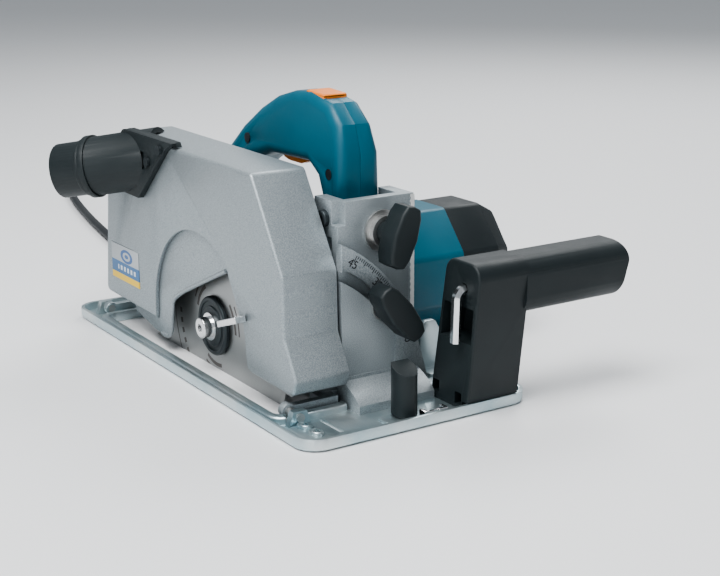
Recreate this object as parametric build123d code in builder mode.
from math import acos, cos, degrees, pi, radians, sin, sqrt, tan
import os

from build123d import *

os.makedirs("parts", exist_ok=True)

# Millimetres. X is the cutting direction, Y points to the motor, Z is up.
# The origin lies on the sole, in the blade's plane, just behind the front edge of the base.

# Driving dimensions
base_length = 314
base_front = 4
base_left = -29
base_right = 122
base_sheet = 2.2
base_rim = 7
opening_rear = -277
opening_front = -41
opening_left = -20
opening_right = 24

arbor_x = -150
arbor_z = 27.5
gear_module = 1.0
gear_teeth = 36
pinion_teeth = 9
gear_distance = gear_module * (gear_teeth + pinion_teeth) / 2
motor_ahead = 12.6
motor_rise = sqrt(gear_distance ** 2 - motor_ahead ** 2)
motor_x = arbor_x + motor_ahead
motor_z = arbor_z + motor_rise
mesh_angle = degrees(acos(motor_ahead / gear_distance))
blade_radius = 95
blade_half = 0.9
tooth_half = 1.2

pivot_x = -65
pivot_z = 107
pivot_radius = 3
tilt_y = -12
tilt_z = 7
tilt_pin_radius = 2.5
running_gap = 0.05

guard_left = -13
guard_right = 22
guard_wall = 2.2
arch_radius = 60.5

lead_diameter = 7
coil_outer = 46
coil_inner = 32
coil_height = 28


def side(y):
    """Sketch plane facing -Y at the given y: its local axes are X and Z."""
    return Plane.XZ.offset(-y)


def front(x):
    """Sketch plane facing +X at the given x: its local axes are Y and Z."""
    return Plane.YZ.offset(x)


def disc(x, z, y_high, thickness, radius, hole=0.0):
    """Plate ring about an axis along Y, from y_high towards -Y."""
    with BuildPart() as ring:
        with BuildSketch(side(y_high)):
            with Locations((x, z)):
                Circle(radius)
                if hole:
                    Circle(hole, mode=Mode.SUBTRACT)
        extrude(amount=thickness)
    return ring


def save(name, piece):
    """Label a finished piece and write it."""
    piece.part.label = name
    export_step(piece.part, f"parts/{name}.step")


def polar(x, z, radius, angle):
    """Point at an angle in degrees about a centre."""
    return (x + radius * cos(radians(angle)), z + radius * sin(radians(angle)))


# ---------------------------------------------------------------- base
base_x = base_front - base_length / 2
base_y = (base_left + base_right) / 2
base_width = base_right - base_left
opening_x = (opening_rear + opening_front) / 2
opening_y = (opening_left + opening_right) / 2
opening_length = opening_front - opening_rear
opening_width = opening_right - opening_left
bead = 5
bead_top = 6.4

clamp_x = -11
clamp_y = 42.8
clamp_stem = 3

handle_x = -15
handle_y = 93

with BuildPart() as base_plate:
    with BuildSketch():
        with Locations((base_x, base_y)):
            RectangleRounded(base_length, base_width, 14)
    extrude(amount=base_rim)
    fillet(base_plate.faces().sort_by(Axis.Z)[0].edges(), 2)
    with BuildSketch(Plane.XY.offset(base_sheet)):
        with Locations((base_x, base_y)):
            RectangleRounded(base_length - 2 * base_sheet, base_width - 2 * base_sheet, 12)
    extrude(amount=base_rim, mode=Mode.SUBTRACT)
    with BuildSketch(Plane.XY.offset(base_sheet)):
        with Locations((opening_x, opening_y)):
            RectangleRounded(opening_length + 2 * bead, opening_width + 2 * bead, 12)
    extrude(amount=bead_top - base_sheet)
    fillet(base_plate.faces().filter_by_position(Axis.Z, bead_top - 0.01, bead_top + 0.01).edges(), 1.6)
    with BuildSketch(Plane.XY.offset(base_sheet)):
        with Locations((-17, -12)):
            RectangleRounded(26, 20, 5)
        with Locations((clamp_x, clamp_y)):
            RectangleRounded(12, 30, 4)
        with Locations((-175, 96), (-175, 106)):
            SlotOverall(170, 3)
    extrude(amount=1.2)
    # the bead stops where the tilting frame's arm and pin cross it
    with BuildSketch(Plane.XY.offset(base_sheet)):
        with Locations((-49, 26.5)):
            Rectangle(28, 9)
        with Locations((-38, tilt_y)):
            Rectangle(7, 11)
    extrude(amount=base_rim, mode=Mode.SUBTRACT)
    with BuildSketch():
        with Locations((opening_x, opening_y)):
            RectangleRounded(opening_length, opening_width, 8)
        with Locations((-22.5, 2.5)):
            SlotOverall(23, 3)
        with Locations((clamp_x, clamp_y)):
            Circle(clamp_stem + running_gap)
        with Locations((handle_x - 10, handle_y), (handle_x + 10, handle_y)):
            Circle(2.6)
        with Locations((-25, -12), (-13, -12), (-36, 40), (-36, 70)):
            Circle(1.9)
    extrude(amount=base_rim, mode=Mode.SUBTRACT)
save("base_plate", base_plate)

pad_screw_places = [(-25, -12), (-13, -12)]
quadrant_screw_places = [(-36, 40), (-36, 70)]
handle_screw_places = [(handle_x - 10, handle_y), (handle_x + 10, handle_y)]

# screws from below hold the quadrant and the handle; the two on the pad show their heads
with BuildPart() as base_screws:
    with BuildSketch():
        with Locations(*quadrant_screw_places, *pad_screw_places):
            Circle(1.85)
        with Locations(*handle_screw_places):
            Circle(2.55)
    extrude(amount=base_sheet + 1.2)
    with BuildSketch(Plane.XY.offset(base_sheet + 1.2)):
        with Locations(*quadrant_screw_places):
            Circle(1.85)
        with Locations(*handle_screw_places):
            Circle(2.55)
    extrude(amount=6)
    with BuildSketch(Plane.XY.offset(base_sheet + 1.2)):
        with Locations(*pad_screw_places):
            Circle(3.4)
    extrude(amount=2)
    fillet(base_screws.faces().filter_by_position(Axis.Z, base_sheet + 3.1, base_sheet + 3.3).edges(), 0.8)
    with BuildSketch(Plane.XY.offset(base_sheet + 3.2)):
        with Locations(*pad_screw_places):
            Rectangle(4.4, 1)
            Rectangle(1, 4.4)
    extrude(amount=-1.2, mode=Mode.SUBTRACT)
save("base_screws", base_screws)

with BuildPart() as sight_clip:
    with BuildSketch(Plane.XY.offset(base_sheet)):
        with Locations((-1.9, 56.5)):
            Rectangle(6, 16)
    extrude(amount=5.4)
    with BuildSketch(Plane.XY.offset(base_sheet + 1.2)):
        with Locations((-3.9, 56.5)):
            Rectangle(6, 11)
    extrude(amount=8, mode=Mode.SUBTRACT)
    with BuildSketch(front(0.1)):
        with Locations((56.5, base_rim)):
            Rectangle(3, 4)
    extrude(amount=3, mode=Mode.SUBTRACT)
save("sight_clip", sight_clip)

with BuildPart() as stop_lug:
    with BuildSketch(front(-72)):
        with BuildLine():
            Polyline((94, base_sheet), (94, 28), (97, 34), (105, 34), (108, 28), (108, base_sheet),
                     close=True)
        make_face()
    extrude(amount=4)
    with BuildSketch(Plane.XY.offset(base_sheet)):
        with Locations((-64, 101)):
            Rectangle(14, 14)
    extrude(amount=2)
    fillet(stop_lug.edges().filter_by(Axis.X).group_by(Axis.Z)[-2:], 3)
save("stop_lug", stop_lug)

# Tilt pivots: a lug at each end of the blade opening carries the pin of the tilting frame
lug_top = tilt_z + tilt_pin_radius


with BuildPart() as tilt_lugs:
    for x_low in (-35.6, -297.2):
        with BuildSketch(front(x_low)):
            with BuildLine():
                Polyline((tilt_y - 7, base_sheet), (tilt_y - 4.2, lug_top + 1.2), (tilt_y + 4.2, lug_top + 1.2),
                         (tilt_y + 7, base_sheet), close=True)
            make_face()
            with Locations((tilt_y, tilt_z)):
                Circle(tilt_pin_radius + running_gap, mode=Mode.SUBTRACT)
        extrude(amount=4.6)
save("tilt_lugs", tilt_lugs)

# ---------------------------------------------------------------- tilt quadrant
quadrant_x = -50
quadrant_thick = 6
quadrant_left = 24
band_y = -19.4
band_z = 8.2
band_outer = 98
band_inner = 84
slot_radius = 80
bolt_angle = 38.5
slot_end_angle = bolt_angle + 22.5
bolt_radius = 3
slot_half = bolt_radius + 0.4
ledge_top = 17

band_start = degrees(acos((quadrant_left - band_y) / band_outer))
web_start = degrees(acos((quadrant_left - band_y) / band_inner))
band_end = 20


def arc_slot(start, end):
    """Outline of a slot for the clamp bolt, concentric with the tilt axis."""
    with BuildLine() as outline:
        outer = CenterArc((tilt_y, tilt_z), slot_radius + slot_half, start, end - start)
        inner = CenterArc((tilt_y, tilt_z), slot_radius - slot_half, start, end - start)
        over = degrees(slot_half / slot_radius)
        ThreePointArc(outer @ 1, polar(tilt_y, tilt_z, slot_radius, end + over), inner @ 1)
        ThreePointArc(outer @ 0, polar(tilt_y, tilt_z, slot_radius, start - over), inner @ 0)
    return outline.edges()


with BuildPart() as tilt_quadrant:
    with BuildSketch(front(quadrant_x)):
        with BuildLine():
            l1 = CenterArc((band_y, band_z), band_outer, band_end, band_start - band_end)
            Polyline(l1 @ 1, (quadrant_left, base_sheet), (84, base_sheet), (80, ledge_top), l1 @ 0)
        make_face()
        make_face(arc_slot(bolt_angle - 2, slot_end_angle + 0.6), mode=Mode.SUBTRACT)
    extrude(amount=quadrant_thick)
    # recessed web below the raised scale band
    with BuildSketch(front(quadrant_x + quadrant_thick)):
        with BuildLine():
            l2 = CenterArc((band_y, band_z), band_inner, band_end, web_start - band_end)
            Polyline(l2 @ 1, (quadrant_left, ledge_top + 2), (59, ledge_top + 2), l2 @ 0)
        make_face()
    extrude(amount=-1, mode=Mode.SUBTRACT)
    # foot ledge screwed to the base
    with BuildSketch(side(75)):
        with BuildLine():
            Polyline((-50, base_sheet), (-27, base_sheet), (-27, 7), (-33, 12), (-44, ledge_top),
                     (-50, ledge_top), close=True)
        make_face()
    extrude(amount=75 - quadrant_left)
    with BuildSketch(Plane.XY.offset(base_sheet)):
        with Locations((-36, 40), (-36, 70)):
            Circle(1.9)
    extrude(amount=8, mode=Mode.SUBTRACT)
save("tilt_quadrant", tilt_quadrant)

# ---------------------------------------------------------------- front handle
post_low = 76
post_high = 111
grip_end = 190
grip_z = 71.5
post_top = 88
key_size = 5
key_x = -1.5
key_z = 73
key_leg_y = post_low - 5

with BuildPart() as front_handle:
    with BuildSketch(side(post_high)):
        with BuildLine():
            Polyline((-33, base_sheet), (-2, base_sheet), (-2, 7.3), (3.2, 7.3), (13.5, post_top),
                     (-18, post_top), close=True)
        make_face()
    extrude(amount=post_high - post_low)
    fillet(front_handle.edges().filter_by(Axis.Y).group_by(Axis.Z)[-1], 9)
    fillet(front_handle.faces().sort_by(Axis.Y)[0].edges().filter_by_position(Axis.Z, 8, 100), 1.5)
    with BuildSketch(side(grip_end)):
        with Locations((-2.5, grip_z)):
            RectangleRounded(30, 33, 11)
    extrude(amount=grip_end - post_high + 2)
    # the grip's end leans back below and is rounded over above
    with BuildSketch(front(16)):
        with BuildLine():
            ThreePointArc((grip_end, 76), (grip_end - 3.5, 84.5), (grip_end - 13, 89))
            Polyline((grip_end - 13, 89), (grip_end + 4, 89), (grip_end + 4, 50), (grip_end - 12, 50),
                     (grip_end, 76))
        make_face()
    extrude(amount=-40, mode=Mode.SUBTRACT)
    # window for the stored key, the bore of its short leg and the foot pockets
    with BuildSketch(side(post_low)):
        with BuildLine():
            Polyline((-23, 42), (5.2, 42), (7.2, 62.5), (-19.4, 62.5), close=True)
        make_face()
    extrude(amount=-16, mode=Mode.SUBTRACT)
    with BuildSketch(side(post_low)):
        with Locations((key_x, key_z)):
            Circle(3)
    extrude(amount=-26, mode=Mode.SUBTRACT)
    with BuildSketch(side(post_low)):
        with Locations((-27, 10), (-6, 8)):
            Rectangle(6, 7)
    extrude(amount=-6, mode=Mode.SUBTRACT)
    with BuildSketch(Plane.XY.offset(base_sheet)):
        with Locations((handle_x - 10, handle_y), (handle_x + 10, handle_y)):
            Circle(2.6)
    extrude(amount=14, mode=Mode.SUBTRACT)
save("front_handle", front_handle)

with BuildPart() as hex_key:
    with BuildLine():
        FilletPolyline((key_x, post_low + 24, key_z), (key_x, key_leg_y, key_z), (key_x - 1, key_leg_y, 42.5),
                       radius=6)
    with BuildSketch(Plane(origin=(key_x, post_low + 24, key_z), x_dir=(1, 0, 0), z_dir=(0, -1, 0))):
        RegularPolygon(key_size / 2, 6, major_radius=False)
    sweep()
save("hex_key", hex_key)

# ---------------------------------------------------------------- guide clamp
with BuildPart() as clamp_knob:
    with BuildSketch(Plane.XY.offset(base_sheet + 1.5)):
        with Locations((clamp_x, clamp_y)):
            Ellipse(8, 7)
    extrude(amount=32.5)
    with BuildSketch(side(clamp_y + 12)):
        with BuildLine():
            Polyline((clamp_x - 10, 30.5), (clamp_x - 5, 34), (clamp_x + 10, 27), (clamp_x + 10, 45),
                     (clamp_x - 10, 45), close=True)
        make_face()
    extrude(amount=24, mode=Mode.SUBTRACT)
    fillet(clamp_knob.faces().sort_by(Axis.Z)[0].edges(), 1)
    with BuildSketch(Plane.XY.offset(0.4)):
        with Locations((clamp_x, clamp_y)):
            Circle(clamp_stem)
    extrude(amount=8)
save("guide_clamp_knob", clamp_knob)

# ---------------------------------------------------------------- tilting frame
plate_rear = -58
plate_thick = 6.5
ear_left = 26
ear_right = 77
knob_y = 55
knob_z = 99
bracket_top = 118
bracket_step = 104.5
knuckle = 4.3

with BuildPart() as tilt_bracket:
    with BuildSketch(front(plate_rear)):
        with BuildLine():
            Polyline((ear_left, 4), (ear_left, bracket_step), (ear_left + 5, bracket_step),
                     (ear_left + 5, bracket_top), (ear_right, bracket_top), (ear_right, 4), close=True)
        make_face()
        make_face(arc_slot(bolt_angle - 22.5, bolt_angle), mode=Mode.SUBTRACT)
        with Locations((knob_y, knob_z)):
            Circle(3.2, mode=Mode.SUBTRACT)
    extrude(amount=plate_thick)
    # ears that hold the depth pivot
    with BuildSketch(side(ear_left + 8)):
        with BuildLine():
            Polyline((-76, 97), (-54, 97), (-54, bracket_step), (-58, bracket_step), (-58, bracket_top),
                     (-76, bracket_top), close=True)
        make_face()
    extrude(amount=8)
    with BuildSketch(side(ear_right)):
        with BuildLine():
            Polyline((-76, 97), (-54, 90), (-54, bracket_top), (-76, bracket_top), close=True)
        make_face()
    extrude(amount=8)
    with BuildSketch(side(ear_right + 1)):
        with Locations((pivot_x, pivot_z)):
            Circle(pivot_radius)
    extrude(amount=ear_right - ear_left + 2, mode=Mode.SUBTRACT)
    # top face with a shallow step and a strengthening rib down the right-hand edge
    with BuildSketch(front(plate_rear + plate_thick)):
        with Locations((ear_right - 1.5, 68)):
            Rectangle(3, 96)
    extrude(amount=1)
    # low arm to the front tilt pin
    with BuildSketch(Plane.XY.offset(3)):
        with BuildLine():
            Polyline((plate_rear, 10), (-48, 10), (-48, tilt_y), (-43, tilt_y), (-43, 20), (-51.5, 20),
                     (-51.5, ear_left + 4), (plate_rear, ear_left + 4), (plate_rear, 10))
        make_face()
    extrude(amount=7)
    with BuildSketch(front(-48)):
        with Locations((tilt_y, tilt_z)):
            Circle(knuckle)
    extrude(amount=5)
    with BuildSketch(front(-48)):
        with Locations((tilt_y, tilt_z)):
            Circle(tilt_pin_radius)
    extrude(amount=5, mode=Mode.SUBTRACT)
save("tilt_bracket", tilt_bracket)

with BuildPart() as tilt_rail:
    with BuildSketch(Plane.XY.offset(2.7)):
        with Locations((-174, 37)):
            Rectangle(232, 12)
    extrude(amount=2.2)
    with BuildSketch(Plane.XY.offset(2.7)):
        with BuildLine():
            Polyline((-290, 43), (-290, tilt_y), (-285, tilt_y), (-285, 43), close=True)
        make_face()
    extrude(amount=7.3)
    with BuildSketch(front(-290)):
        with Locations((tilt_y, tilt_z)):
            Circle(knuckle)
    extrude(amount=5)
    with BuildSketch(front(-290)):
        with Locations((tilt_y, tilt_z)):
            Circle(tilt_pin_radius)
    extrude(amount=5, mode=Mode.SUBTRACT)
save("tilt_rail", tilt_rail)

with BuildPart() as tilt_pins:
    for x_low, length in ((-48, 18), (-297, 12)):
        with BuildSketch(front(x_low)):
            with Locations((tilt_y, tilt_z)):
                Circle(tilt_pin_radius)
        extrude(amount=length)
save("tilt_pins", tilt_pins)
save("pivot_pin", disc(pivot_x, pivot_z, ear_right, ear_right - ear_left, pivot_radius))

with BuildPart() as pivot_screw:
    with BuildSketch(side(ear_left)):
        with Locations((pivot_x, pivot_z)):
            Circle(5)
    extrude(amount=3)
    fillet(pivot_screw.faces().sort_by(Axis.Y)[0].edges(), 1)
    with BuildSketch(side(ear_left - 3)):
        with Locations((pivot_x, pivot_z)):
            RegularPolygon(2.2, 6)
    extrude(amount=-1.8, mode=Mode.SUBTRACT)
save("pivot_screw", pivot_screw)

save("lift_spring", disc(pivot_x, pivot_z, 68.7, 6.4, 5.6, 3.6))


# Wing knobs turn on bolts along X; the bolt and its washers stay with the bracket
def wing_knob(y, z, x_low, tilt, reach):
    along = (0, cos(radians(tilt)), sin(radians(tilt)))
    paddle_plane = Plane(origin=(x_low, y, z), x_dir=along, z_dir=(1, 0, 0))
    with BuildPart() as knob:
        with BuildSketch(paddle_plane):
            Circle(7)
        extrude(amount=9)
        with BuildSketch(paddle_plane.offset(6)):
            with BuildLine():
                Polyline((-reach + 1, -4.5), (-reach + 6, -6.6), (0, -8), (reach - 6, -6.6), (reach - 1, -4.5),
                         (reach, 0), (reach - 1, 4.5), (reach - 6, 6.6), (0, 8), (-reach + 6, 6.6),
                         (-reach + 1, 4.5), (-reach, 0), close=True)
            make_face()
        extrude(amount=14)
        fillet(knob.faces().sort_by(Axis.X)[-1].edges(), 2)
        with BuildSketch(paddle_plane):
            Circle(3.05)
        extrude(amount=12, mode=Mode.SUBTRACT)
    return knob


def clamp_bolt(y, z, x_low, length, washers):
    """Hex bolt along X with its washers, each given by its place, thickness and radius."""
    with BuildPart() as bolt:
        with BuildSketch(front(x_low)):
            with Locations((y, z)):
                Circle(3)
        extrude(amount=length)
        with BuildSketch(front(x_low)):
            with Locations((y, z)):
                Circle(5.4)
        extrude(amount=1.5)
        for washer_x, washer_thick, washer_radius in washers:
            with BuildSketch(front(washer_x)):
                with Locations((y, z)):
                    Circle(washer_radius)
            extrude(amount=washer_thick)
    return bolt


bolt_y, bolt_z = polar(tilt_y, tilt_z, slot_radius, bolt_angle)
save("tilt_clamp_bolt", clamp_bolt(bolt_y, bolt_z, -59.6, 29, [(-43.9, 1.6, 7.6)]))
save("tilt_wing_knob", wing_knob(bolt_y, bolt_z, -42.2, -52, 19.5))
save("depth_clamp_bolt", clamp_bolt(knob_y, knob_z, -59.6, 25.5, [(-51.4, 1.6, 12), (-49.8, 3.4, 9)]))
save("depth_wing_knob", wing_knob(knob_y, knob_z, -46, 71, 18))

# ---------------------------------------------------------------- upper guard
guard_outline = [(-38, 16.7), (-34, 26), (-46, 47), (-47, 82), (-80, 134), (-252, 135), (-281, 88), (-290, 20)]

guard_screw_places = [(-109, 85), (-182, 70), (-225, 93)]
hood_screw_places = [(-186, 132), (-204, 122)]

with BuildPart() as upper_guard:
    with BuildSketch(side(guard_right)) as guard_side:
        with BuildLine():
            Polyline(*guard_outline, close=True)
        make_face()
        fillet(guard_side.vertices(), 4)
    extrude(amount=guard_right - guard_left)
    fillet(upper_guard.faces().sort_by(Axis.Y)[0].edges().filter_by_position(Axis.Z, 21, 200), 2)
    with BuildSketch(side(guard_right - guard_wall)):
        with BuildLine():
            Polyline(*guard_outline, close=True)
        make_face()
        offset(amount=-guard_wall, kind=Kind.INTERSECTION)
    extrude(amount=guard_right - guard_left - 2 * guard_wall, mode=Mode.SUBTRACT)
    # open underside
    with BuildSketch(Plane.XY.offset(0)):
        with Locations((-164.5, (guard_left + guard_right) / 2)):
            Rectangle(246, guard_right - guard_left - 2 * guard_wall)
    extrude(amount=24, mode=Mode.SUBTRACT)
    # arch in the left wall, round the arbor
    with BuildSketch(side(guard_left + guard_wall)):
        with Locations((arbor_x, arbor_z)):
            Circle(arch_radius)
        with BuildLine():
            Polyline((arbor_x - arch_radius, arbor_z), (arbor_x - arch_radius - 1, 0), (-80, 0), (-80, 17),
                     (-88, 20), (arbor_x + arch_radius, arbor_z), (arbor_x - arch_radius, arbor_z))
        make_face()
    extrude(amount=guard_wall + 1, mode=Mode.SUBTRACT)
    # hole in the right wall for the spindle boss
    with BuildSketch(side(guard_right)):
        with Locations((arbor_x, arbor_z)):
            Circle(24)
        with Locations(*guard_screw_places):
            Circle(2)
    extrude(amount=guard_wall, mode=Mode.SUBTRACT)
    with BuildSketch(side(guard_left + guard_wall)):
        with Locations(*hood_screw_places):
            Circle(1.6)
        with Locations((-234, 115)):
            Circle(11)
    extrude(amount=guard_wall, mode=Mode.SUBTRACT)
save("upper_guard", upper_guard)

with BuildPart() as guard_screws:
    for x, z in guard_screw_places:
        with BuildSketch(side(guard_right + 6.9)):
            with Locations((x, z)):
                Circle(2)
        extrude(amount=guard_wall + 9.1)
        with BuildSketch(side(guard_right - guard_wall)):
            with Locations((x, z)):
                Circle(3.8)
        extrude(amount=2.4)
save("guard_screws", guard_screws)

# ---------------------------------------------------------------- gear case
boss_front = 8.2
case_front = guard_right + 0.4
case_floor = 26
case_back = 62
boss_radius = 20
motor_boss = 36.5
fan_chamber = 34
gear_back = 44
bearing_width = 7
front_bearing_radius = 14
rear_bearing_radius = 11
armature_bearing_radius = 9.5
spindle_radius = 8
shaft_radius = 4
case_top = 97
lock_x = -100
lock_y = 30

with BuildPart() as gear_case:
    with BuildSketch(side(case_back)):
        with Locations((arbor_x, arbor_z)):
            Circle(boss_radius + 1)
        with Locations((motor_x, motor_z)):
            Circle(motor_boss)
        with BuildLine():
            Polyline((-186, 52), (-200, 84), (-232, 88), (-238, 99), (-170, case_top), (-94, case_top), (-90, 113),
                     (pivot_x - 3, 113), (pivot_x + 4, 112), (pivot_x + 5.6, pivot_z), (pivot_x + 2, 101),
                     (-84, 90), (-108, 76), (-116, 40), close=True)
        make_face()
    extrude(amount=case_back - case_front)
    with BuildSketch(side(case_front)):
        with Locations((arbor_x, arbor_z)):
            Circle(boss_radius)
    extrude(amount=case_front - boss_front)
    # the pivot lug is narrower than the body, so that it fits between the ears
    with BuildSketch(side(case_front + 12.1)):
        with Locations((-70, pivot_z)):
            Rectangle(26, 30)
    extrude(amount=12.2, mode=Mode.SUBTRACT)
    with BuildSketch(side(case_back)):
        with Locations((pivot_x, pivot_z)):
            Circle(pivot_radius + running_gap)
    extrude(amount=case_back - case_front, mode=Mode.SUBTRACT)
    # gear chamber
    with BuildSketch(side(gear_back)):
        with Locations((arbor_x, arbor_z)):
            Circle(19.5)
        with Locations((motor_x, motor_z)):
            Circle(7)
    extrude(amount=gear_back - case_floor, mode=Mode.SUBTRACT)
    # spindle bore and bearing seats
    with BuildSketch(side(case_floor)):
        with Locations((arbor_x, arbor_z)):
            Circle(spindle_radius + 0.6)
    extrude(amount=case_floor - boss_front, mode=Mode.SUBTRACT)
    with BuildSketch(side(boss_front + bearing_width)):
        with Locations((arbor_x, arbor_z)):
            Circle(front_bearing_radius)
    extrude(amount=bearing_width, mode=Mode.SUBTRACT)
    with BuildSketch(side(gear_back + bearing_width)):
        with Locations((arbor_x, arbor_z)):
            Circle(rear_bearing_radius)
    extrude(amount=bearing_width, mode=Mode.SUBTRACT)
    # armature bearing seat, shaft passage and fan chamber
    with BuildSketch(side(gear_back + 1 + bearing_width)):
        with Locations((motor_x, motor_z)):
            Circle(armature_bearing_radius)
    extrude(amount=bearing_width, mode=Mode.SUBTRACT)
    with BuildSketch(side(case_back)):
        with Locations((motor_x, motor_z)):
            Circle(fan_chamber)
    extrude(amount=8, mode=Mode.SUBTRACT)
    with BuildSketch(side(case_back)):
        with Locations((motor_x, motor_z)):
            Circle(shaft_radius + 1)
    extrude(amount=case_back - gear_back, mode=Mode.SUBTRACT)
    with BuildSketch(side(guard_right + 6.9)):
        with Locations(*guard_screw_places):
            Circle(2)
    extrude(amount=8, mode=Mode.SUBTRACT)
    # hole of the spindle lock
    with BuildSketch(Plane.XY.offset(case_top + 1)):
        with Locations((lock_x, lock_y)):
            Circle(3 + running_gap)
    extrude(amount=-12, mode=Mode.SUBTRACT)
save("gear_case", gear_case)

with BuildPart() as spindle_lock:
    with BuildSketch(Plane.XY.offset(case_top + 3.6)):
        with Locations((lock_x, lock_y)):
            Circle(5.5)
    extrude(amount=4)
    fillet(spindle_lock.faces().sort_by(Axis.Z)[-1].edges(), 1)
    with BuildSketch(Plane.XY.offset(case_top - 6)):
        with Locations((lock_x, lock_y)):
            Circle(3)
    extrude(amount=9.7)
save("spindle_lock", spindle_lock)


def bearings(x, z, backs, outer, inner):
    """Sealed ball bearings on one axis, each drawn as a ring with a groove on each face."""
    middle = (outer + inner) / 2
    groove = (outer - inner) / 5
    with BuildPart() as rings:
        for y_high in backs:
            with BuildSketch(side(y_high)):
                with Locations((x, z)):
                    Circle(outer)
                    Circle(inner, mode=Mode.SUBTRACT)
            extrude(amount=bearing_width)
            with BuildSketch(side(y_high), side(y_high - bearing_width + 0.5)):
                with Locations((x, z)):
                    Circle(middle + groove)
                    Circle(middle - groove, mode=Mode.SUBTRACT)
            extrude(amount=0.5, mode=Mode.SUBTRACT)
    return rings


save("spindle_front_bearing", bearings(arbor_x, arbor_z, [boss_front + bearing_width], front_bearing_radius,
                                       spindle_radius))
save("spindle_rear_bearing", bearings(arbor_x, arbor_z, [gear_back + bearing_width], rear_bearing_radius,
                                      5))

# ---------------------------------------------------------------- spindle and blade
flange_radius = 18.5
nose_radius = 10
bolt_thread = 4

with BuildPart() as spindle:
    for y_high, y_low, radius in ((tooth_half, -tooth_half, nose_radius),
                                  (gear_back - 0.3, tooth_half, spindle_radius),
                                  (50.5, gear_back - 0.3, 5)):
        with BuildSketch(side(y_high)):
            with Locations((arbor_x, arbor_z)):
                Circle(radius - (running_gap if radius == 5 else 0))
        extrude(amount=y_high - y_low)
    with BuildSketch(side(14)):
        with Locations((arbor_x, arbor_z)):
            Circle(bolt_thread)
    extrude(amount=14 + tooth_half, mode=Mode.SUBTRACT)
save("spindle", spindle)


def toothed(x, z, y_high, width, teeth, phase, hole):
    """Spur gear with straight-sided teeth, thinned for backlash."""
    pitch = gear_module * teeth / 2
    root = pitch - 1.25 * gear_module
    with BuildPart() as wheel:
        with BuildSketch(side(y_high)):
            with Locations((x, z)):
                Circle(root)
            with Locations((x, z)):
                with PolarLocations(0, teeth, start_angle=phase):
                    with Locations((pitch - 0.1, 0)):
                        Trapezoid(1.7, 2.4, 74, rotation=-90)
            with Locations((x, z)):
                Circle(hole, mode=Mode.SUBTRACT)
        extrude(amount=width)
    return wheel


save("spindle_gear", toothed(arbor_x, arbor_z, 42, 11, gear_teeth, mesh_angle, spindle_radius))
save("inner_flange", disc(arbor_x, arbor_z, 5.6, 5.6 - tooth_half, flange_radius, spindle_radius))

with BuildPart() as outer_flange:
    with BuildSketch(side(-tooth_half)):
        with Locations((arbor_x, arbor_z)):
            Circle(flange_radius)
            Circle(bolt_thread, mode=Mode.SUBTRACT)
    extrude(amount=3)
    with BuildSketch(side(-tooth_half - 3)):
        with Locations((arbor_x, arbor_z)):
            Circle(flange_radius - 3)
            Circle(flange_radius - 6, mode=Mode.SUBTRACT)
    extrude(amount=-0.8, mode=Mode.SUBTRACT)
    chamfer(outer_flange.edges().filter_by(GeomType.CIRCLE).sort_by(SortBy.RADIUS)[-1], 0.8)
save("outer_flange", outer_flange)

with BuildPart() as blade_bolt:
    with BuildSketch(side(10)):
        with Locations((arbor_x, arbor_z)):
            Circle(bolt_thread)
    extrude(amount=10 + tooth_half + 4.6)
    with BuildSketch(side(-tooth_half - 4.6)):
        with Locations((arbor_x, arbor_z)):
            Circle(6.4)
    extrude(amount=6.2)
    fillet(blade_bolt.faces().sort_by(Axis.Y)[0].edges(), 0.8)
    with BuildSketch(side(-tooth_half - 10.8)):
        with Locations((arbor_x, arbor_z)):
            RegularPolygon(2.9, 6)
    extrude(amount=-4, mode=Mode.SUBTRACT)
save("blade_bolt", blade_bolt)
save("blade_washer", disc(arbor_x, arbor_z, -tooth_half - 3, 1.6, 8.6, bolt_thread))

blade_teeth = 36
with BuildPart() as saw_blade:
    with BuildSketch(side(blade_half)):
        with Locations((arbor_x, arbor_z)):
            Circle(blade_radius - 9)
            with PolarLocations(0, blade_teeth):
                Polygon((blade_radius - 10, -5), (blade_radius - 1.6, -3), (blade_radius - 0.6, 1.2),
                        (blade_radius - 5, 1.6), (blade_radius - 10, 4.6), align=None)
            Circle(nose_radius, mode=Mode.SUBTRACT)
            with PolarLocations(blade_radius - 14, 4, start_angle=22):
                SlotOverall(20, 1.2, mode=Mode.SUBTRACT)
    extrude(amount=2 * blade_half)
    # carbide tips, wider than the plate
    with BuildSketch(side(tooth_half)):
        with Locations((arbor_x, arbor_z)):
            with PolarLocations(blade_radius - 2.5, blade_teeth, start_angle=0.2):
                Rectangle(5, 1.6)
    extrude(amount=2 * tooth_half)
save("saw_blade", saw_blade)

# ---------------------------------------------------------------- lower guard
wall_left = -10.5
wall_right = 6.0
lower_radius = 99
lower_sheet = 1.5
front_angle = 18
rear_angle = 187
hub_outer = 26

lip_points = [(-115, 71), (-188, 39), (-191, 30), (-193.5, 14), (-198, 9), (-218, 9.5)]
tab_radius = 56.4
tab_angle = 19.4
tab_depth = 8

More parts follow.
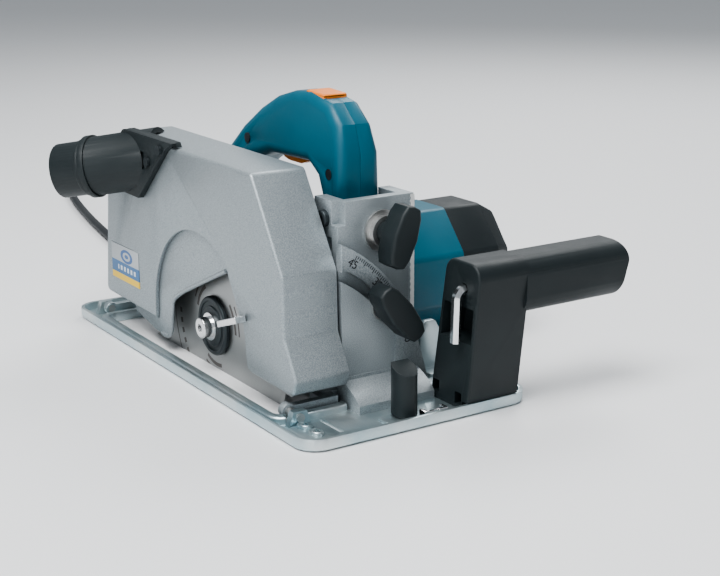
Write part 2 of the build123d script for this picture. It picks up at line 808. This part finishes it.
with BuildPart() as lower_guard:
    with BuildSketch(side(wall_left + lower_sheet)):
        with BuildLine():
            rim = CenterArc((arbor_x, arbor_z), lower_radius, front_angle, rear_angle - front_angle)
            Polyline(rim @ 1, *reversed(lip_points), polar(arbor_x, arbor_z, 53.6, 17), rim @ 0)
        make_face()
    extrude(amount=lower_sheet)
    with BuildSketch(side(wall_right + lower_sheet)):
        with BuildLine():
            back_rim = CenterArc((arbor_x, arbor_z), lower_radius, front_angle, rear_angle - front_angle)
            Polyline(back_rim @ 1, (-198, 9), (-170, 10), (arbor_x + 4, arbor_z), back_rim @ 0)
        make_face()
        with Locations((arbor_x, arbor_z)):
            Circle(hub_outer)
            Circle(boss_radius + running_gap, mode=Mode.SUBTRACT)
    extrude(amount=lower_sheet)
    with BuildSketch(side(wall_right + lower_sheet)):
        with BuildLine():
            outer_rim = CenterArc((arbor_x, arbor_z), lower_radius, front_angle, rear_angle - front_angle)
            inner_rim = CenterArc((arbor_x, arbor_z), lower_radius - lower_sheet, front_angle,
                                  rear_angle - front_angle)
            Line(outer_rim @ 0, inner_rim @ 0)
            Line(outer_rim @ 1, inner_rim @ 1)
        make_face()
    extrude(amount=wall_right + lower_sheet - wall_left)
    with BuildSketch(side(wall_right + 6)):
        with Locations((arbor_x, arbor_z)):
            Circle(hub_outer)
            Circle(boss_radius + running_gap, mode=Mode.SUBTRACT)
    extrude(amount=6)
save("lower_guard", lower_guard)

with BuildPart() as lift_tab:
    tab_x, tab_z = polar(arbor_x, arbor_z, tab_radius, tab_angle)
    with BuildSketch(side(wall_left)):
        with Locations(Location((tab_x, tab_z, 0), (0, 0, tab_angle))):
            Rectangle(6, 4)
    extrude(amount=wall_left - guard_left + tab_depth)
    outer_x, outer_z = polar(arbor_x, arbor_z, tab_radius - 1.5, tab_angle)
    with BuildSketch(side(guard_left - 1)):
        with Locations(Location((outer_x, outer_z, 0), (0, 0, tab_angle))):
            Rectangle(24, 4)
    extrude(amount=tab_depth - 1)
    fillet(lift_tab.faces().sort_by(Axis.Y)[0].edges(), 0.6)
save("lift_tab", lift_tab)
save("guard_spring", disc(arbor_x, arbor_z, 18.6, 5.6, 22.6, boss_radius + 0.5))

# ---------------------------------------------------------------- dust hood
plate_left = guard_left - 4
neck_origin = (-239, -15, 117)
neck_dir = Vector(-0.735, -0.655, -0.174).normalized()
neck_length = 26
neck_radius = 19
neck_bore = 15.5
neck_plane = Plane(origin=neck_origin, x_dir=(0, 0, 1), z_dir=tuple(neck_dir))

with BuildPart() as dust_hood:
    with BuildSketch(side(guard_left - 0.2)) as hood_side:
        with BuildLine():
            Polyline((-170, 138.2), (-240, 138.2), (-262, 122), (-264, 97), (-221, 96.5), (-181, 132), close=True)
        make_face()
        fillet(hood_side.vertices().sort_by(Axis.X)[:3], 5)
    extrude(amount=3.8)
    with BuildSketch(side(guard_left + 4)):
        with BuildLine():
            Polyline((-171, 135.4), (-240, 135.4), (-240, 138.2), (-173, 138.2), close=True)
        make_face()
    extrude(amount=4.2)
    with BuildSketch(neck_plane):
        Circle(neck_radius)
    extrude(amount=neck_length)
    with BuildSketch(neck_plane):
        Circle(neck_radius)
    extrude(amount=-24)
    with BuildSketch(neck_plane.offset(neck_length - 4)):
        Circle(neck_radius + 1.2)
    extrude(amount=4)
    with BuildSketch(side(60)):
        with Locations((-230, 110)):
            Rectangle(160, 50.8)
    extrude(amount=60 - guard_left + 0.2, mode=Mode.SUBTRACT)
    with BuildSketch(neck_plane.offset(-30)):
        Circle(neck_bore)
    extrude(amount=60, mode=Mode.SUBTRACT)
    with BuildSketch(side(plate_left)):
        with Locations((-214, 122)):
            Rectangle(9, 11)
    extrude(amount=-1.4, mode=Mode.SUBTRACT)
    with BuildSketch(side(guard_left)):
        with Locations(*hood_screw_places):
            Circle(1.6)
    extrude(amount=6, mode=Mode.SUBTRACT)
save("dust_hood", dust_hood)

with BuildPart() as dust_cuff:
    with BuildSketch(neck_plane.offset(neck_length + 0.4)):
        Circle(17.6)
    extrude(amount=21)
    with BuildSketch(neck_plane.offset(neck_length + 0.4)):
        Circle(18.6)
    extrude(amount=3)
    with BuildSketch(neck_plane.offset(17)):
        Circle(neck_bore - 0.08)
    extrude(amount=neck_length - 16)
    with BuildSketch(neck_plane.offset(16)):
        Circle(13.5)
    extrude(amount=40, mode=Mode.SUBTRACT)
save("dust_cuff", dust_cuff)

with BuildPart() as hood_screws:
    for x, z in hood_screw_places:
        with BuildSketch(side(guard_left + guard_wall)):
            with Locations((x, z)):
                Circle(1.6)
        extrude(amount=guard_wall + 4)
        with BuildSketch(side(plate_left)):
            with Locations((x, z)):
                Circle(3.2)
        extrude(amount=1.8)
save("hood_screws", hood_screws)

with BuildPart() as side_label:
    with BuildSketch(side(guard_left)):
        with BuildLine():
            Polyline((-277, 33), (-234, 33), (-234, 57), (-277, 57), close=True)
        make_face()
    extrude(amount=0.4)
save("side_label", side_label)

# ---------------------------------------------------------------- motor
housing_end = 150
cap_end = 192
flat_half = 38
cap_inset = 0.6
nose_inset = 8


def octagon(inset):
    """Corners of the motor's section, drawn in from its flats by inset."""
    flat = flat_half - inset
    corner = flat * tan(pi / 8)
    return [(flat, -corner), (flat, corner), (corner, flat), (-corner, flat),
            (-flat, corner), (-flat, -corner), (-corner, -flat), (corner, -flat)]


with BuildPart() as motor_housing:
    with BuildSketch(side(housing_end)) as housing_side:
        with Locations((motor_x, motor_z)):
            Polygon(*octagon(0), align=None)
        fillet(housing_side.vertices(), 5)
    extrude(amount=housing_end - case_back)
    with BuildSketch(side(housing_end)):
        with Locations((motor_x, motor_z)):
            Circle(36)
    extrude(amount=housing_end - case_back, mode=Mode.SUBTRACT)
save("motor_housing", motor_housing)

with BuildPart() as motor_end_cap:
    with BuildSketch(side(cap_end - 14)) as cap_side:
        with Locations((motor_x, motor_z)):
            Polygon(*octagon(cap_inset), align=None)
        fillet(cap_side.vertices(), 5)
    extrude(amount=cap_end - 14 - housing_end)
    with BuildSketch(side(cap_end - 14)) as cap_shoulder:
        with Locations((motor_x, motor_z)):
            Polygon(*octagon(cap_inset), align=None)
        fillet(cap_shoulder.vertices(), 5)
    with BuildSketch(side(cap_end)) as cap_nose:
        with Locations((motor_x, motor_z)):
            Polygon(*octagon(nose_inset), align=None)
        fillet(cap_nose.vertices(), 5)
    loft()
    fillet(motor_end_cap.faces().sort_by(Axis.Y)[-1].edges(), 3)
    with BuildSketch(side(cap_end - 16)):
        with Locations((motor_x, motor_z)):
            Circle(34)
    extrude(amount=cap_end - 16 - housing_end, mode=Mode.SUBTRACT)
    with BuildSketch(side(cap_end - 15)):
        with Locations((motor_x, motor_z)):
            Circle(13)
            Circle(armature_bearing_radius, mode=Mode.SUBTRACT)
    extrude(amount=9)
    with BuildSketch(side(cap_end + 1)):
        with Locations((motor_x, motor_z)):
            with GridLocations(36, 7, 1, 5):
                SlotOverall(30, 3)
    extrude(amount=8, mode=Mode.SUBTRACT)
save("motor_end_cap", motor_end_cap)
save("armature_bearings", bearings(motor_x, motor_z, [gear_back + 1 + bearing_width, cap_end - 16.5],
                                   armature_bearing_radius, shaft_radius))
save("stator", disc(motor_x, motor_z, 125, 45, 35.9, 21))
save("commutator", disc(motor_x, motor_z, 150, 16, 12.5, shaft_radius))

with BuildPart() as armature:
    with BuildSketch(side(176)):
        with Locations((motor_x, motor_z)):
            Circle(shaft_radius - running_gap)
    extrude(amount=176 - 43)
    with BuildSketch(side(125)):
        with Locations((motor_x, motor_z)):
            Circle(20.3)
    extrude(amount=45)
    add(toothed(motor_x, motor_z, 43.2, 13, pinion_teeth, mesh_angle + 200, 0.001).part)
save("armature", armature)

with BuildPart() as cooling_fan:
    with BuildSketch(side(59)):
        with Locations((motor_x, motor_z)):
            Circle(32)
            Circle(shaft_radius, mode=Mode.SUBTRACT)
    extrude(amount=2)
    with BuildSketch(side(68)):
        with Locations((motor_x, motor_z)):
            with PolarLocations(22, 11):
                Rectangle(18, 1.4, rotation=24)
            Circle(8)
            Circle(shaft_radius, mode=Mode.SUBTRACT)
    extrude(amount=9)
save("cooling_fan", cooling_fan)

with BuildPart() as brush_holders:
    with BuildSketch(front(motor_x - 33), front(motor_x + 15)):
        with Locations((142, motor_z)):
            Rectangle(11, 11)
            Rectangle(8, 7, mode=Mode.SUBTRACT)
    extrude(amount=18)
save("brush_holders", brush_holders)

with BuildPart() as carbon_brushes:
    with BuildSketch(side(146)):
        with Locations((motor_x - 21.3, motor_z), (motor_x + 21.3, motor_z)):
            Rectangle(17, 6.8)
    extrude(amount=8)
save("carbon_brushes", carbon_brushes)

with BuildPart() as motor_label:
    with BuildSketch(Plane.XY.offset(motor_z + flat_half)):
        with Locations((motor_x, 100)):
            RectangleRounded(26, 42, 2)
    extrude(amount=0.4)
save("motor_label", motor_label)

# ---------------------------------------------------------------- rear handle
handle_left_y = 38
handle_right_y = 68
seam = (handle_left_y + handle_right_y) / 2
seam_gap = 0.1
foot_z = 113.2
rear_foot_z = 99.2
handle_outer = [(-70, foot_z), (-70, 140), (-75, 156), (-87, 167), (-109, 171.5), (-128, 170), (-147, 165),
                (-166, 156), (-186, 143), (-205, 127), (-222, 111), (-232, rear_foot_z)]
handle_inner = [(-204, rear_foot_z), (-202, 105), (-192, 113), (-176, 122), (-150, 130), (-106, 131), (-95, 124),
                (-90.5, foot_z)]
handle_pocket = [(-98, 136), (-150, 136), (-176, 129), (-190, 122), (-196, 127), (-180, 140), (-160, 151),
                 (-140, 160), (-112, 164), (-98, 160)]
handle_bolt_places = [(-80, 128), (-176, 136), (-209, 103.8)]
relief_x = -214
relief_z = 108
relief_length = 58
trigger_x = -132
trigger_length = 27
button_x = -105


def handle_half(y_high, y_low, outer_face):
    with BuildPart() as half:
        with BuildSketch(side(y_high)) as outline:
            with BuildLine():
                Polyline(*handle_outer, *handle_inner, close=True)
            make_face()
            fillet(outline.vertices().filter_by_position(Axis.Z, 100, 172), 6)
        extrude(amount=y_high - y_low)
        side_edges = half.faces().sort_by(Axis.Y)[outer_face].edges()
        fillet(side_edges.filter_by(lambda e: abs(e.center().Z - foot_z) > 0.5 and e.center().Z > 100.5), 6.5)
        with BuildSketch(side(seam + 11)):
            with BuildLine():
                Polyline(*handle_pocket, close=True)
            make_face()
        extrude(amount=22, mode=Mode.SUBTRACT)
        with BuildSketch(Plane.XY.offset(125)):
            with Locations((trigger_x, seam)):
                Rectangle(trigger_length + 1, 14)
        extrude(amount=14, mode=Mode.SUBTRACT)
        with BuildSketch(Plane.XY.offset(155)):
            with Locations((button_x, seam)):
                Rectangle(21, 17)
        extrude(amount=20, mode=Mode.SUBTRACT)
        with BuildSketch(front(relief_x)):
            with Locations((seam, relief_z)):
                Circle(7)
        extrude(amount=-20, mode=Mode.SUBTRACT)
        for x, z in handle_bolt_places:
            with BuildSketch(side(handle_left_y + 3)):
                with Locations((x, z)):
                    Circle(3.2)
            extrude(amount=4, mode=Mode.SUBTRACT)
            with BuildSketch(side(handle_right_y - 6)):
                with Locations((x, z)):
                    Circle(1.6)
            extrude(amount=handle_right_y - 6 - handle_left_y, mode=Mode.SUBTRACT)
    return half


save("handle_left", handle_half(seam - seam_gap, handle_left_y, 0))
save("handle_right", handle_half(handle_right_y, seam + seam_gap, -1))

with BuildPart() as trigger:
    with BuildSketch(side(seam + 6.5)):
        with BuildLine():
            Polyline((trigger_x - 13, 128), (trigger_x - 5, 126.4), (trigger_x + 6, 126.4), (trigger_x + 13, 128.6),
                     (trigger_x + 13, 139), (trigger_x - 13, 139), close=True)
        make_face()
    extrude(amount=13)
    fillet(trigger.faces().sort_by(Axis.Z)[0].edges(), 1)
save("trigger", trigger)

with BuildPart() as lock_button:
    with BuildSketch(side(seam + 8)):
        with BuildLine():
            Polyline((button_x - 10, 164), (button_x - 10, 172), (button_x + 9, 171), (button_x + 10, 164),
                     close=True)
        make_face()
    extrude(amount=16)
    fillet(lock_button.faces().sort_by(Axis.Z)[-1].edges(), 1)
    with BuildSketch(Plane.XY.offset(152)):
        with Locations((button_x, seam)):
            Rectangle(10, 8)
    extrude(amount=12.5)
save("lock_button", lock_button)

with BuildPart() as switch_body:
    with BuildSketch(Plane.XY.offset(145.5)):
        with Locations((-130, seam)):
            Rectangle(34, 19)
    extrude(amount=11)
    fillet(switch_body.edges().filter_by(Axis.Z), 1.5)
save("switch_body", switch_body)

with BuildPart() as handle_bolts:
    for x, z in handle_bolt_places:
        with BuildSketch(side(handle_left_y + 3)):
            with Locations((x, z)):
                Circle(3.2)
        extrude(amount=3.2)
        with BuildSketch(side(handle_right_y - 6)):
            with Locations((x, z)):
                Circle(1.6)
        extrude(amount=handle_right_y - 9 - handle_left_y)
save("handle_bolts", handle_bolts)

# ---------------------------------------------------------------- mains lead
with BuildPart() as strain_relief:
    with BuildSketch(Plane(origin=(relief_x, seam, relief_z), x_dir=(0, 1, 0), z_dir=(-1, 0, 0))):
        Circle(7)
    relief_end = (relief_x - relief_length, seam, relief_z)
    with BuildSketch(Plane(origin=relief_end, x_dir=(0, 1, 0), z_dir=(-1, 0, 0))):
        Circle(4.6)
    loft()
save("strain_relief", strain_relief)

lead_floor = lead_diameter / 2
lead_route = [(relief_x - relief_length - 0.4, seam, relief_z), (-312, 54, 105), (-350, 55, 84), (-380, 58, 48),
              (-408, 63, 16), (-450, 70, lead_floor), (-505, 79, lead_floor), (-560, 89, lead_floor),
              (-612, 100, lead_floor), (-662, 112, lead_floor), (-708, 126, lead_floor), (-738, 158, lead_floor),
              (-728, 202, lead_floor), (-688, 226, lead_floor), (-636, 224, lead_floor), (-584, 212, lead_floor),
              (-548, 209, lead_floor + 1)]
coil_x = -530
coil_y = 165
plug_x = -462
plug_z = 18
plug_route = [(coil_x + 6, coil_y + 43.5, coil_height - lead_floor), (-492, 209.5, 21), (plug_x, 214, plug_z)]


def bend_radii(route):
    """Largest comfortable bend at each point of a route."""
    points = [Vector(*p) for p in route]
    radii = []
    for before, here, after in zip(points, points[1:], points[2:]):
        turn = radians((here - before).get_angle(after - here))
        shorter = min((here - before).length, (after - here).length)
        radii.append(0.45 * shorter / tan(turn / 2))
    return radii


def lead(route):
    radii = bend_radii(route)
    start = Vector(*route[0])
    with BuildPart() as tube:
        with BuildLine() as path:
            FilletPolyline(*route, radius=radii)
        with BuildSketch(Plane(origin=route[0], z_dir=tuple(Vector(*route[1]) - start))):
            Circle(lead_diameter / 2)
        sweep()
    length = sum(edge.length for edge in path.edges())
    expected = pi * lead_diameter**2 / 4 * length
    print("lead length", round(length, 1), "radii", [round(r, 1) for r in radii],
          "volume ratio", round(tube.part.volume / expected, 4))
    return tube


save("power_lead", lead(lead_route))
save("plug_lead", lead(plug_route))

with BuildPart() as lead_coil:
    with BuildSketch():
        with Locations((coil_x, coil_y)):
            Circle(coil_outer)
            Circle(coil_inner, mode=Mode.SUBTRACT)
    extrude(amount=coil_height)
    fillet(lead_coil.edges(), 3.2)
save("lead_coil", lead_coil)

with BuildPart() as plug:
    with BuildSketch(Plane(origin=(plug_x, 214, plug_z), x_dir=(0, 1, 0), z_dir=(1, 0, 0))):
        Circle(5)
    with BuildSketch(Plane(origin=(plug_x + 22, 214, plug_z), x_dir=(0, 1, 0), z_dir=(1, 0, 0))):
        Circle(13)
    loft()
    with BuildSketch(front(plug_x + 22)):
        with Locations((214, plug_z)):
            Circle(17.5)
    extrude(amount=20)
    fillet(plug.edges().filter_by(GeomType.CIRCLE).sort_by(SortBy.RADIUS)[-2:], 2)
    with BuildSketch(front(plug_x + 42)):
        with Locations((214 - 9.5, plug_z), (214 + 9.5, plug_z)):
            Circle(2.4)
    extrude(amount=19)
save("plug", plug)
